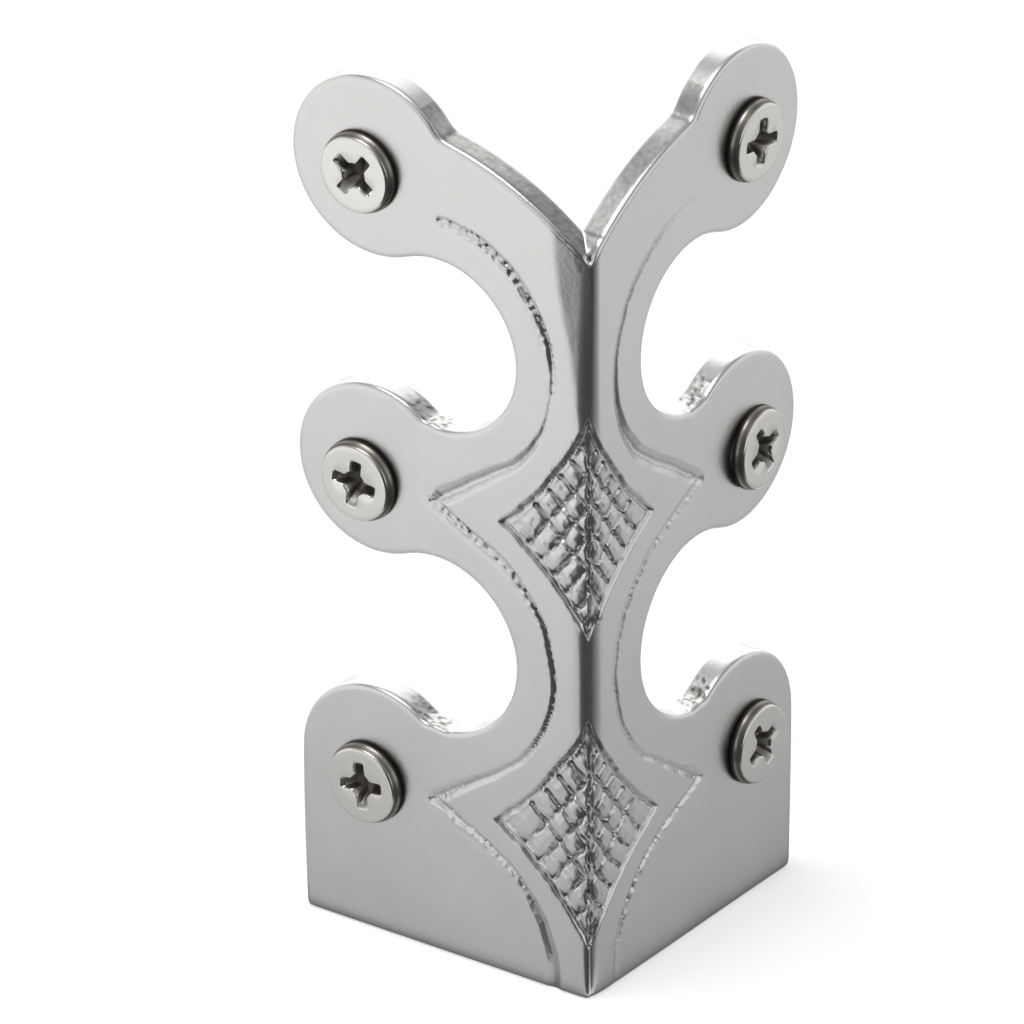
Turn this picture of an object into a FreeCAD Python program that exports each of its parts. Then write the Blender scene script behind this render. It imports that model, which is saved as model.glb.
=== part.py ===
import FreeCAD, Part
import math
import os

from FreeCAD import Vector

# Protector for the outside corner of a skirting board: one cast corner plate and six screws.
# Millimetres. The origin is the wall's corner at floor level, where the two inner faces meet.
# X runs along the right leg, Y along the left leg and Z up. The wall fills the X, Y quarter.
# On a leg, a place is given as u, the distance from the outer arris, and z, the height.

# Cast plate
plate_thickness = 2.2
arris_height = 65.3
arris_land = 0.9
arris_inset = 0.41
web_width = 7.3
flank_lean = 0.35
foot_corner_radius = 1.2
inner_blend_radius = 0.8
front_edge_bevel = 0.3

# Ears of each leg, from the foot up
ear_reach = 21.0
first_ear_height = 14.65
ear_pitch = 26.8
ear_radii = (7.2, 7.4, 7.8)
shoulder_cut = 0.5
neck_angle = 147.0
arm_edge_radius = 28.0

# Holes, from the middle of each ear
hole_offset = 1.1
hole_drop = 1.0
hole_clearance = 1.3

# Screws
thread_diameter = 3.5
neck_diameter = 2.6
neck_length = 2.4
screw_length = 7.2
point_length = 1.4
point_diameter = 0.8
head_diameter = 7.0
head_height = 1.5
head_wall = 0.8
head_top_diameter = 6.0
recess_depth = 1.35
recess_span = 3.9
recess_floor_span = 1.8
recess_wing = 0.95
recess_floor_wing = 0.7
recess_core = 1.9
recess_floor_core = 0.9

# Engraved leaf lines
leaf_margin = 3.75
leaf_tip_clear = 6.9
leaf_start_angle = 92.0
leaf_line_width = 1.0
leaf_line_depth = 0.4

# Knurled diamonds, folded over the arris
diamond_reach = 9.0
diamond_rise = 11.0
diamond_fall = 8.9
diamond_hollow = 0.6
diamond_cells = 6
border_width = 0.5
border_depth = 0.28
knurl_width = 0.62
knurl_depth = 0.38
nick_width = 1.1
nick_depth = 0.45

# How far the head's cross is turned, in degrees, seen from in front
screw_turns = {
    "left_bottom": 6.5,
    "left_middle": -7.0,
    "left_top": 54.0,
    "right_bottom": 27.0,
    "right_middle": 22.0,
    "right_top": -7.0,
}

# How far each screw sits off the middle of its hole, along the leg and up
screw_shifts = {
    "left_bottom": (-0.45, -0.4),
    "left_middle": (0.05, -0.2),
    "left_top": (-0.1, 0.4),
    "right_bottom": (0.45, 0.0),
    "right_middle": (0.5, -0.3),
    "right_top": (0.0, 0.45),
}

# Cutters start this far outside the face that they cut
overcut = 0.5


def at(u, z, depth=0.0):
    """Point on the right leg, a depth behind its outer face."""
    return Vector(u - plate_thickness, depth - plate_thickness, z)


def on_circle(circle, degrees):
    """Point of a circle (u, z, radius) at an angle from +u towards +z."""
    turn = math.radians(degrees)
    return circle[0] + circle[2] * math.cos(turn), circle[1] + circle[2] * math.sin(turn)


def bearing(start, end):
    """Angle of the way from one point to another, in degrees."""
    return math.degrees(math.atan2(end[1] - start[1], end[0] - start[0]))


def along(start, end, share):
    """Point at a share of the way from one point to another."""
    return start[0] + share * (end[0] - start[0]), start[1] + share * (end[1] - start[1])


def crossing(circle, other):
    """Where two circles cross, on the side nearer the arris."""
    gap = math.dist(circle[:2], other[:2])
    reach = (gap**2 + circle[2] ** 2 - other[2] ** 2) / (2 * gap)
    half_chord = math.sqrt(max(circle[2] ** 2 - reach**2, 0.0))
    foot = along(circle, other, reach / gap)
    side = (-(other[1] - circle[1]) / gap, (other[0] - circle[0]) / gap)
    ends = [(foot[0] + s * half_chord * side[0], foot[1] + s * half_chord * side[1]) for s in (1, -1)]
    return min(ends)


def bent_circle(start, end, radius):
    """Circle through two points that bulges to the left of the way between them."""
    chord = math.dist(start, end)
    middle = along(start, end, 0.5)
    back = math.sqrt(radius**2 - chord**2 / 4)
    side = ((end[1] - start[1]) / chord, -(end[0] - start[0]) / chord)
    return middle[0] + back * side[0], middle[1] + back * side[1], radius


def notch_circle(lower, upper):
    """Notch that leaves web_width at the arris, touches the upper ear and bites the lower one."""
    lower_radius, upper_radius = lower[2] - shoulder_cut, upper[2]
    span, pitch = lower[0] - web_width, upper[1] - lower[1]
    a = upper_radius - lower_radius
    b = 2 * pitch * (span + lower_radius)
    c = (span + upper_radius) * (span**2 - lower_radius**2)
    c -= (span + lower_radius) * (span**2 + pitch**2 - upper_radius**2)
    rise = -2 * c / (b + math.sqrt(b**2 - 4 * a * c))
    radius = (span**2 + rise**2 - lower_radius**2) / (2 * (span + lower_radius))
    return web_width + radius, lower[1] + rise, radius


ears = [(ear_reach, first_ear_height + k * ear_pitch, r) for k, r in enumerate(ear_radii)]
notches = [notch_circle(lower, upper) for lower, upper in zip(ears, ears[1:])]
hole_reach = ear_reach + hole_offset
hole_heights = [ear[1] - hole_drop for ear in ears]


def line(start, end):
    return Part.LineSegment(at(*start), at(*end)).toShape()


def arc(circle, start, end, through):
    """Arc of a circle between two of its points, by way of an angle."""
    return Part.Arc(at(*start), at(*on_circle(circle, through)), at(*end)).toShape()


def leg_outline():
    """Outline of a leg's outer face: foot, flank, three ears with notches between, arm edge."""
    arris_foot, arris_top = (0.0, 0.0), (0.0, arris_height)
    flank_end = on_circle(ears[0], 0)
    flank_radius = (flank_end[1] ** 2 + flank_lean**2) / (2 * flank_lean)
    flank = (flank_end[0] - flank_radius, flank_end[1], flank_radius)
    foot_end = (flank_end[0] - flank_lean, 0.0)
    edges = [line(arris_foot, foot_end), arc(flank, foot_end, flank_end, bearing(flank, foot_end) / 2)]
    start = flank_end
    for lower, upper, notch in zip(ears, ears[1:], notches):
        shoulder = crossing(lower, notch)
        touch = on_circle(upper, bearing(upper, notch))
        middle = (bearing(lower, start) + bearing(lower, shoulder)) / 2
        edges.append(arc(lower, start, shoulder, middle))
        edges.append(arc(notch, shoulder, touch, 180))
        start = touch
    neck = on_circle(ears[-1], neck_angle)
    edges.append(arc(ears[-1], start, neck, (bearing(ears[-1], start) + neck_angle) / 2))
    arm = bent_circle(arris_top, neck, arm_edge_radius)
    middle = (bearing(arm, arris_top) + bearing(arm, neck)) / 2
    edges.append(arc(arm, neck, arris_top, middle))
    edges.append(line(arris_top, arris_foot))
    return Part.Wire(edges)


def mirrored(shape):
    """The same thing on the left leg."""
    return shape.mirror(Vector(0, 0, 0), Vector(1, -1, 0))


def line_groove(start, end, width, depth):
    """V-shaped cutter along a straight line on the right leg."""
    length = math.dist(start, end)
    side = ((end[1] - start[1]) / length, -(end[0] - start[0]) / length)
    half = width / 2 * (1 + overcut / depth)
    left = at(start[0] + half * side[0], start[1] + half * side[1], -overcut)
    right = at(start[0] - half * side[0], start[1] - half * side[1], -overcut)
    profile = Part.Face(Part.makePolygon([left, right, at(*start, depth), left]))
    return profile.extrude(at(*end) - at(*start))


def arc_groove(circle, first, last, width, depth):
    """V-shaped cutter along an arc on the right leg, from one angle to another."""
    half = width / 2 * (1 + overcut / depth)
    corners = []
    for offset, low in ((-half, -overcut), (half, -overcut), (0.0, depth)):
        corners.append(at(*on_circle((circle[0], circle[1], circle[2] + offset), first), low))
    profile = Part.Face(Part.makePolygon(corners + corners[:1]))
    return profile.revolve(at(circle[0], circle[1]), Vector(0, -1, 0), last - first)


def groove_end(place, width, depth):
    """Cone that rounds off a groove's end or a corner between two grooves."""
    radius = width / 2 * (1 + overcut / depth)
    return Part.makeCone(radius, 0, depth + overcut, at(*place, -overcut), Vector(0, 1, 0))


def tangent_angle(circle, place):
    """Angle of the point, on the arris side, where a line from a place touches a circle."""
    spread = math.degrees(math.acos(circle[2] / math.dist(circle[:2], place)))
    towards = bearing(circle, place)
    return towards - spread if towards < 0 else towards + spread


def leaf_cutters():
    """Lines beside the notches, drawn out to a leaf tip at the middle and the lowest ear."""
    circles = [(n[0], n[1], n[2] + leaf_margin) for n in reversed(notches)]
    last = circles[-1]
    circles.append((last[0], last[1] - ear_pitch, last[2]))
    tips = [(hole_reach - leaf_tip_clear, z) for z in reversed(hole_heights[:-1])]
    size = (leaf_line_width, leaf_line_depth)
    cutters = [groove_end(on_circle(circles[0], leaf_start_angle), *size)]
    begin = leaf_start_angle
    for upper, lower, tip in zip(circles, circles[1:], tips):
        end = tangent_angle(upper, tip) + 360
        cutters.append(arc_groove(upper, begin, end, *size))
        cutters.append(line_groove(on_circle(upper, end), tip, *size))
        cutters.append(groove_end(tip, *size))
        begin = tangent_angle(lower, tip)
        cutters.append(line_groove(tip, on_circle(lower, begin), *size))
    cutters.append(arc_groove(circles[-1], begin, 200, *size))
    return cutters


def diamond_sides(level):
    """Corners and hollow sides of the half diamond on one leg: top, side, foot and two circles."""
    top, side = (0.0, level + diamond_rise), (diamond_reach, level)
    foot = (0.0, level - diamond_fall)
    circles = []
    for start, end in ((top, side), (side, foot)):
        chord = math.dist(start, end)
        radius = (chord**2 / 4 + diamond_hollow**2) / (2 * diamond_hollow)
        circles.append(bent_circle(end, start, radius))
    return top, side, foot, circles


def diamond_cutters(level):
    """Border line of a half diamond and the crossing grooves that leave its rows of studs."""
    top, side, foot, circles = diamond_sides(level)
    upper, lower = circles
    cutters = []
    for circle, start, end in ((upper, top, side), (lower, side, foot)):
        first, last = bearing(circle, start) % 360, bearing(circle, end) % 360
        cutters.append(arc_groove(circle, min(first, last), max(first, last), border_width, border_depth))
    cutters.append(groove_end(side, border_width, border_depth))
    edges = [
        arc(upper, top, side, bearing(upper, along(top, side, 0.5))),
        arc(lower, side, foot, bearing(lower, along(side, foot, 0.5))),
        line(foot, top),
    ]
    field = Part.Face(Part.Wire(edges)).extrude(Vector(0, knurl_depth + overcut, 0))
    field.translate(Vector(0, -overcut, 0))
    rows = []
    for k in range(1, diamond_cells):
        share = k / diamond_cells
        start = along(top, foot, share)
        rows.append(line_groove(start, along(side, foot, share), knurl_width, knurl_depth))
        rows.append(line_groove(start, along(top, side, share), knurl_width, knurl_depth))
    cutters.append(rows[0].multiFuse(rows[1:]).common(field))
    return cutters


def arris_nicks(level):
    """Wedges that carry the diamond's grooves round the arris."""
    wide = nick_width / 2 * (1 + overcut / nick_depth)
    outward, across = Vector(-1, -1, 0).normalize(), Vector(1, -1, 0).normalize()
    top, foot = level + diamond_rise, level - diamond_fall
    nicks = []
    for k in range(1, diamond_cells):
        centre = at(0, top + k / diamond_cells * (foot - top)) - outward * arris_inset
        reach = arris_land
        corners = [
            centre + outward * overcut + Vector(0, 0, wide) - across * reach,
            centre - outward * nick_depth - across * reach,
            centre + outward * overcut - Vector(0, 0, wide) - across * reach,
        ]
        nicks.append(Part.Face(Part.makePolygon(corners + corners[:1])).extrude(across * (2 * reach)))
    return nicks


def arris_cutter():
    """Bar with a hollow side that rounds the arris over its whole height."""
    sharp = Vector(-plate_thickness, -plate_thickness, -overcut)
    inward = Vector(1, 1, 0).normalize()
    ends = [sharp + Vector(arris_land, 0, 0), sharp + Vector(0, arris_land, 0)]
    outside = [ends[0] - Vector(0, overcut, 0), sharp - Vector(overcut, overcut, 0)]
    outside.append(ends[1] - Vector(overcut, 0, 0))
    edges = [Part.Arc(ends[1], sharp + inward * arris_inset, ends[0]).toShape()]
    corners = [ends[0]] + outside + [ends[1]]
    edges += [Part.LineSegment(a, b).toShape() for a, b in zip(corners, corners[1:])]
    return Part.Face(Part.Wire(edges)).extrude(Vector(0, 0, arris_height + 2 * overcut))


def level_edges(solid, height):
    """Edges that run straight through the plate at one height, where two outline curves meet."""
    close = 0.001
    return [e for e in solid.Edges if max(abs(v.Z - height) for v in e.Vertexes) < close]


def mitred_leg():
    """Right leg with blended corners and bevelled front edges, mitred at the arris."""
    leg = Part.Face(leg_outline()).extrude(Vector(0, plate_thickness, 0))
    heights = [crossing(ear, notch)[1] for ear, notch in zip(ears, notches)]
    heights.append(on_circle(ears[-1], neck_angle)[1])
    leg = leg.makeFillet(inner_blend_radius, [e for h in heights for e in level_edges(leg, h)])
    foot_corner = max(level_edges(leg, 0), key=lambda edge: edge.BoundBox.XMin)
    leg = leg.makeFillet(foot_corner_radius, [foot_corner])
    face = min(leg.Faces, key=lambda face: face.BoundBox.YMax)
    front = [e for e in face.Edges if e.BoundBox.XMax > face.BoundBox.XMin + arris_land]
    leg = leg.makeChamfer(front_edge_bevel, front)
    size = 2 * (ear_reach + ear_radii[-1])
    corners = [Vector(-size, -size, -overcut), Vector(size, size, -overcut), Vector(-size, size, -overcut)]
    beyond_mitre = Part.Face(Part.makePolygon(corners + corners[:1]))
    return leg.cut(beyond_mitre.extrude(Vector(0, 0, 2 * arris_height)))


def hole_cutters():
    """Clearance holes for the screws of one leg."""
    radius = (thread_diameter + hole_clearance) / 2
    length = plate_thickness + 2 * overcut
    places = [at(hole_reach, height, -overcut) for height in hole_heights]
    return [Part.makeCylinder(radius, length, place, Vector(0, 1, 0)) for place in places]


def corner_plate():
    """The casting: two mitred legs, the rounded arris, six holes and the engraving."""
    leg = mitred_leg()
    plate = leg.fuse(mirrored(leg)).removeSplitter().cut(arris_cutter())
    levels = hole_heights[:-1]
    cutters = hole_cutters() + leaf_cutters()
    for level in levels:
        cutters += diamond_cutters(level)
    cutters += [mirrored(cutter) for cutter in cutters]
    for level in levels:
        cutters += arris_nicks(level)
    return plate.cut(cutters).Solids[0]


def screw():
    """Pan-head screw, point down, with the underside of its head at the origin."""
    radius, top_radius = head_diameter / 2, head_top_diameter / 2
    thread_radius, neck_radius = thread_diameter / 2, neck_diameter / 2
    corners = [
        Vector(0, 0, -screw_length),
        Vector(point_diameter / 2, 0, -screw_length),
        Vector(thread_radius, 0, point_length - screw_length),
        Vector(thread_radius, 0, -neck_length),
        Vector(neck_radius, 0, -neck_length),
        Vector(neck_radius, 0, 0),
        Vector(radius, 0, 0),
        Vector(radius, 0, head_wall),
        Vector(top_radius, 0, head_height),
        Vector(0, 0, head_height),
    ]
    profile = Part.Face(Part.makePolygon(corners + corners[:1]))
    blank = profile.revolve(Vector(0, 0, 0), Vector(0, 0, 1), 360)
    return blank.cut(cross_recess())


def wing_cutter(span, width, floor_span, floor_width, rise):
    """Tapered wing of the recess, upright on its floor and centred on the screw's axis."""
    low = (-floor_span / 2, 0, -floor_width / 2, -width / 2, -span / 2)
    high = (floor_span / 2, rise, floor_width / 2, width / 2, span / 2)
    wing = Part.makeWedge(*low, *high)
    wing.rotate(Vector(0, 0, 0), Vector(1, 0, 0), 90)
    return wing


def cross_recess():
    """Cross recess: two tapered wings and a round core, cut down from above the head."""
    flare = 1 + overcut / recess_depth
    span = recess_floor_span + flare * (recess_span - recess_floor_span)
    width = recess_floor_wing + flare * (recess_wing - recess_floor_wing)
    core = recess_floor_core + flare * (recess_core - recess_floor_core)
    rise = flare * recess_depth
    first = wing_cutter(span, width, recess_floor_span, recess_floor_wing, rise)
    second = first.copy()
    second.rotate(Vector(0, 0, 0), Vector(0, 0, 1), 90)
    recess = Part.makeCone(recess_floor_core / 2, core / 2, rise).multiFuse([first, second])
    recess.translate(Vector(0, 0, head_height - recess_depth))
    return recess


def place_screw(blank, side, level):
    """Seats a screw's head on the outer face of a leg, with its cross turned."""
    name = side + "_" + level
    placed = blank.copy()
    placed.rotate(Vector(0, 0, 0), Vector(0, 0, 1), screw_turns[name])
    placed.rotate(Vector(0, 0, 0), Vector(1, 0, 0), 90)
    height = hole_heights[("bottom", "middle", "top").index(level)]
    seat = at(hole_reach + screw_shifts[name][0], height + screw_shifts[name][1])
    if side == "left":
        placed.rotate(Vector(0, 0, 0), Vector(0, 0, 1), -90)
        seat = Vector(seat.y, seat.x, seat.z)
    placed.translate(seat)
    return placed


def export(name, shape):
    """Writes one node's solid."""
    shape.exportStep(os.path.join("parts", name + ".step"))


os.makedirs("parts", exist_ok=True)
export("corner_plate", corner_plate())
blank = screw()
for side in ("left", "right"):
    for level in ("bottom", "middle", "top"):
        export("screw_" + side + "_" + level, place_screw(blank, side, level))
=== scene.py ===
import math

import bmesh
import bpy
import numpy as np
from mathutils import Matrix, Vector, kdtree, noise
from mathutils.geometry import delaunay_2d_cdt


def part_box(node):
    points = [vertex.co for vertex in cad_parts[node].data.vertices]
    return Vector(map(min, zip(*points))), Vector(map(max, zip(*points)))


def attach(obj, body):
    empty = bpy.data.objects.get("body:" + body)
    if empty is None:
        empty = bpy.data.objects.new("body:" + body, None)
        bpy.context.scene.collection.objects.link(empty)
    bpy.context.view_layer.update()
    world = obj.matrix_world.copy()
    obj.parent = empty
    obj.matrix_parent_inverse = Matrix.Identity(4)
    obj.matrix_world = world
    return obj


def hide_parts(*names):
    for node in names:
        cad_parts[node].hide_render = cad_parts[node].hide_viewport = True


# Protector for the outside corner of a skirting board: one casting and six screws.
# The scene is in metres; the sizes of the casting and the screws are written in millimetres.
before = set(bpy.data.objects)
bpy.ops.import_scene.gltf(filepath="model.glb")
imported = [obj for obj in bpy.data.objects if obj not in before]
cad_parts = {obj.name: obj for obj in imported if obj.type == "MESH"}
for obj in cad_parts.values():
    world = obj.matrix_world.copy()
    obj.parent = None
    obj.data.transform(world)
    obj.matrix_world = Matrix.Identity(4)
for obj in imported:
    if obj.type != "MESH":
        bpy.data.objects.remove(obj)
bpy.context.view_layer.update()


# ---- The casting ----
# One angle of cast zinc with two scalloped legs, which wraps the corner of the skirting board.
# Its leaf lines and the knurled diamonds over the arris are cut by hand in the pattern, so no two
# of them are quite alike. The casting is dressed with a file, buffed and satin nickel plated.

# Along a leg, u is measured from the sharp arris and z from the floor. Circles are (u, z, radius).
# An ear passes into the notch above it at a shoulder, the top ear into the arm's edge at the neck,
# and the flank is the foot's side, a very wide arc.
thickness = 2.2
arris_height = 65.3
ears = ((21.0, 14.65, 7.2), (21.0, 41.45, 7.4), (21.0, 68.25, 7.8))
notches = ((14.952, 27.666, 7.652), (14.741, 54.353, 7.441))
shoulders = ((16.343, 20.141), (16.161, 47.049))
neck_angle = 147.0
flank = (-278.58, 14.65, 306.78)
arm_edge = (19.178, 44.898, 28.0)
foot_reach = 27.85
foot_corner = 1.2
edge_radius = 0.42
hole_radius = 2.4
hole_reach = 22.1
hole_heights = (13.65, 40.45, 67.25)

# Spacing of the points on the outline, and how often its corners are blended
outline_step = 0.2
blend_rounds = 9


def bearing(circle, place):
    """Angle from the middle of a circle to a place, in degrees."""
    return math.degrees(math.atan2(place[1] - circle[1], place[0] - circle[0]))


def on_circle(circle, angle):
    """The point of a circle at an angle in degrees."""
    turn = math.radians(angle)
    return circle[0] + circle[2] * math.cos(turn), circle[1] + circle[2] * math.sin(turn)


def sweep(circle, first, last, step=outline_step):
    """Points of an arc from one angle to another, without its last point."""
    count = max(2, round(abs(math.radians(last - first)) * circle[2] / step))
    return [on_circle(circle, first + (last - first) * k / count) for k in range(count)]


def leg_outline():
    """Outline of a leg from the arris foot round to just before the arris top, as (u, z)."""
    count = round(foot_reach / outline_step)
    points = [(foot_reach * k / count, 0.0) for k in range(count)]
    points += sweep(flank, bearing(flank, (foot_reach, 0.0)), 0.0)
    start = 0.0
    for lower, upper, notch, shoulder in zip(ears, ears[1:], notches, shoulders):
        touch = bearing(upper, notch)
        points += sweep(lower, start, bearing(lower, shoulder))
        points += sweep(notch, bearing(notch, shoulder) + 360, touch + 180)
        start = touch
    points += sweep(ears[-1], start, neck_angle)
    neck = on_circle(ears[-1], neck_angle)
    points += sweep(arm_edge, bearing(arm_edge, neck), bearing(arm_edge, (0.0, arris_height)))
    return points


def sheet_outline():
    """Closed outline of both legs unfolded flat, u below zero on the left leg."""
    right = leg_outline()
    left = [(-u, z) for u, z in reversed(right[1:])]
    loop = np.array(right + [(0.0, arris_height)] + left)
    flat = loop[:, 1] == 0.0
    for _ in range(blend_rounds):
        loop = loop / 2 + (np.roll(loop, 1, 0) + np.roll(loop, -1, 0)) / 4
    loop[flat & (np.abs(loop[:, 0]) < foot_reach - foot_corner), 1] = 0.0
    return loop


def snapped(loop):
    """The outline with a point exactly on each inner corner line, at the foot and at the top."""
    for corner in (-thickness, thickness):
        for high in (False, True):
            level = (loop[:, 1] > arris_height / 2) == high
            away = np.where(level, np.abs(loop[:, 0] - corner), np.inf)
            loop[np.argmin(away), 0] = corner
    return loop


# Small lumps and dents that fettling left on the shoulders: (side, u, z, spread, height)
dents = (
    (-1, 15.4, 47.2, 0.45, 0.18), (-1, 13.7, 46.4, 0.35, -0.22), (-1, 12.4, 46.6, 0.5, 0.08),
    (-1, 15.3, 20.2, 0.5, 0.12), (-1, 13.9, 19.9, 0.4, -0.12),
    (1, 15.6, 47.3, 0.4, 0.12), (1, 14.0, 46.6, 0.5, -0.14),
    (1, 15.4, 20.3, 0.5, 0.12), (1, 14.2, 19.9, 0.4, -0.1),
)


def inward_normals(loop):
    """Unit normals of the closed outline, towards the metal."""
    run = np.roll(loop, -1, 0) - np.roll(loop, 1, 0)
    run /= np.linalg.norm(run, axis=1)[:, None]
    return np.stack((-run[:, 1], run[:, 0]), 1)


def dented(loop):
    """The outline with the lumps and dents of its shoulders."""
    normals = inward_normals(loop)
    for side, u, z, spread, height in dents:
        away = np.hypot(loop[:, 0] - side * u, loop[:, 1] - z)
        loop = loop - normals * (height * np.exp(-(away / spread) ** 2))[:, None]
    return loop


outline = dented(snapped(sheet_outline()))
inward = inward_normals(outline)


# Leaf line of a leg: beside the notches, drawn out to a tip at the middle and the lowest ear
leaf_margin = 3.75
leaf_tip_clear = 6.9
leaf_top_angle = 92.0
leaf_foot_angle = 202.0
leaf_step = 0.1
ear_pitch = 26.8


def touch_angle(circle, place):
    """Angle of the point, on the arris side, where a line from a place touches a circle."""
    spread = math.degrees(math.acos(circle[2] / math.dist(circle[:2], place)))
    towards = bearing(circle, place)
    return towards - spread if towards < 0 else towards + spread


def leaf_line():
    """Points of the leaf line from top to foot, as (u, z)."""
    circles = [(n[0], n[1], n[2] + leaf_margin) for n in reversed(notches)]
    circles.append((circles[-1][0], circles[-1][1] - ear_pitch, circles[-1][2]))
    points, begin = [], leaf_top_angle
    for upper, lower, height in zip(circles, circles[1:], (hole_heights[1], hole_heights[0])):
        tip = (hole_reach - leaf_tip_clear, height)
        end = touch_angle(upper, tip) + 360
        points += sweep(upper, begin, end, leaf_step)
        begin = touch_angle(lower, tip)
        for start, stop in ((on_circle(upper, end), tip), (tip, on_circle(lower, begin))):
            count = round(math.dist(start, stop) / leaf_step)
            points += [(start[0] + (stop[0] - start[0]) * k / count,
                        start[1] + (stop[1] - start[1]) * k / count) for k in range(count)]
    points += sweep(circles[-1], begin, leaf_foot_angle, leaf_step)
    return np.array(points)


leaf = leaf_line()

# How the cut of the leaf line changes down a leg: (height, width, depth, beading)
leaf_cut_left = (
    (66.2, 0.6, 0.0, 0.0), (65.5, 0.7, 0.14, 0.7), (64.6, 1.1, 0.09, 1.1), (61.0, 1.1, 0.10, 1.3),
    (59.5, 0.8, 0.11, 1.2), (57.0, 0.45, 0.18, 0.9), (55.3, 0.5, 0.07, 0.2), (52.0, 0.6, 0.04, 0.1),
    (50.3, 0.5, 0.08, 0.1), (48.6, 0.6, 0.20, 0.1), (47.5, 0.7, 0.30, 0.1), (43.5, 1.3, 0.42, 0.2),
    (41.0, 1.6, 0.40, 0.5), (40.5, 1.0, 0.20, 0.7), (39.6, 0.6, 0.10, 0.9), (38.5, 0.6, 0.06, 1.0),
    (34.5, 0.5, 0.09, 1.0), (32.5, 0.4, 0.22, 0.6), (24.0, 0.4, 0.26, 0.2), (18.5, 0.6, 0.26, 0.1),
    (16.0, 1.0, 0.30, 0.2), (14.1, 1.3, 0.34, 0.5), (13.5, 1.2, 0.24, 0.9), (12.0, 0.7, 0.08, 1.0),
    (8.5, 0.6, 0.10, 1.0), (7.0, 1.1, 0.26, 0.2), (0.0, 1.3, 0.30, 0.1),
)
leaf_cut_right = (
    (66.2, 0.5, 0.0, 0.0), (64.0, 0.4, 0.10, 0.2), (56.0, 0.4, 0.12, 0.3), (52.0, 0.7, 0.24, 0.1),
    (47.0, 1.4, 0.38, 0.1), (41.0, 1.5, 0.34, 0.2), (40.2, 1.0, 0.18, 0.3), (38.0, 0.6, 0.06, 0.5),
    (30.0, 0.5, 0.06, 0.4), (22.0, 0.5, 0.16, 0.2), (16.0, 0.7, 0.24, 0.2), (14.0, 1.2, 0.26, 0.3),
    (13.0, 0.8, 0.14, 0.6), (10.0, 0.6, 0.12, 1.0), (5.0, 0.6, 0.08, 1.0), (2.0, 0.8, 0.04, 0.3),
    (0.0, 0.8, 0.03, 0.2),
)

# How far the cut reaches to each side of the leaf line, and how far the hand wandered, over what
# length. Then the punched beads on it, the slope that they lie on, and the lumps raised beside it.
leaf_cut_reach = 1.6
leaf_wander, leaf_wander_length = 0.12, 1.8
bead_size, bead_depth, bead_width, bead_offset = 0.34, 0.26, 0.26, 0.05
slope_depth, slope_reach = 0.11, (1.0, 0.35)
lump_size, lump_depth, lump_width, lump_offset = 0.5, 0.11, 0.22, 0.38

# Diamonds, half of each on a leg: (level of the side corners, reach, rise, fall); how far their sides
# are hollowed; and where their crossing grooves start, as shares of the height, which slips a
# little from one leg to the other
diamonds = ((hole_heights[0], 9.1, 11.0, 8.8), (hole_heights[1], 8.5, 11.2, 7.9))
diamond_hollow = 0.6
rows_down = (0.21, 0.355, 0.49, 0.63, 0.77)
rows_up = (0.185, 0.31, 0.445, 0.59, 0.74)
slip_down, slip_up = 0.022, -0.02
# Their border line; their grooves, steeper on one side, where each leg has one set cut weaker; and
# their studs, which are crowned, sloped and dinted, most of all over the arris
border_depth, border_width = 0.34, 0.26
groove_depth, groove_widths, groove_wander = 0.50, (0.15, 0.24), 0.20
weak_stroke = 0.55
stud_sunk, stud_crown, stud_slope = 0.05, 0.10, 0.05
dint_size, dint_depth = 0.42, 0.06
arris_dint_size, arris_dint_depth, arris_dint_reach = 1.1, 0.16, 1.3


def rough(u, z, scale, seed):
    """Smooth noise from -1 to 1, one value a point, with features of about scale mm."""
    return np.array([noise.noise((a / scale + seed, b / scale, seed * 1.7)) for a, b in zip(u, z)])


def search_tree(points):
    """Tree that finds the nearest of some flat points."""
    tree = kdtree.KDTree(len(points))
    for k, (a, b) in enumerate(points):
        tree.insert((a, b, 0.0), k)
    tree.balance()
    return tree


leaf_tree = search_tree(leaf)


def leaf_depth(u, z):
    """Depth of the leaf lines at each point: the cut itself, its beads and the lumps beside it."""
    found = [leaf_tree.find((abs(a), b, 0.0))[1:] for a, b in zip(u, z)]
    index, away = (np.array(f) for f in zip(*found))
    run = np.gradient(leaf, axis=0)
    run /= np.linalg.norm(run, axis=1)[:, None]
    offset = np.stack((np.abs(u), z), 1) - leaf[index]
    side = np.sign(offset[:, 0] * run[index, 1] - offset[:, 1] * run[index, 0])
    level = leaf[index, 1]
    depth = np.zeros(len(u))
    for leg, cut in ((-1, leaf_cut_left), (1, leaf_cut_right)):
        heights, widths, depths, beads = (np.array(c)[::-1] for c in zip(*cut))
        here = (u * leg >= 0) & (away < leaf_cut_reach)
        width, low, bead = (np.interp(level[here], heights, v) for v in (widths, depths, beads))
        place = index[here] * leaf_step
        wander = leaf_wander * rough(place, place * 0 + leg, leaf_wander_length, 3.0)
        across = away[here] * side[here] + wander
        shape = np.clip(1 - np.abs(across) / (width / 2), 0, 1) ** 0.8
        spots = np.clip(2.6 * rough(u[here], z[here], bead_size, 7.0) - 0.45, 0, 1)
        pits = bead_depth * bead * spots * np.exp(-((across - bead_offset) / bead_width) ** 2)
        slope = np.clip(1 - np.abs(across) / np.where(across < 0, *slope_reach), 0, 1)
        lumps = lump_depth * bead * np.clip(1.6 * rough(u[here], z[here], lump_size, 9.0) + 0.5, 0, 1)
        lumps *= np.exp(-((across + lump_offset) / lump_width) ** 2)
        depth[here] += low * shape + slope_depth * bead * slope + pits - lumps
    return depth


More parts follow.
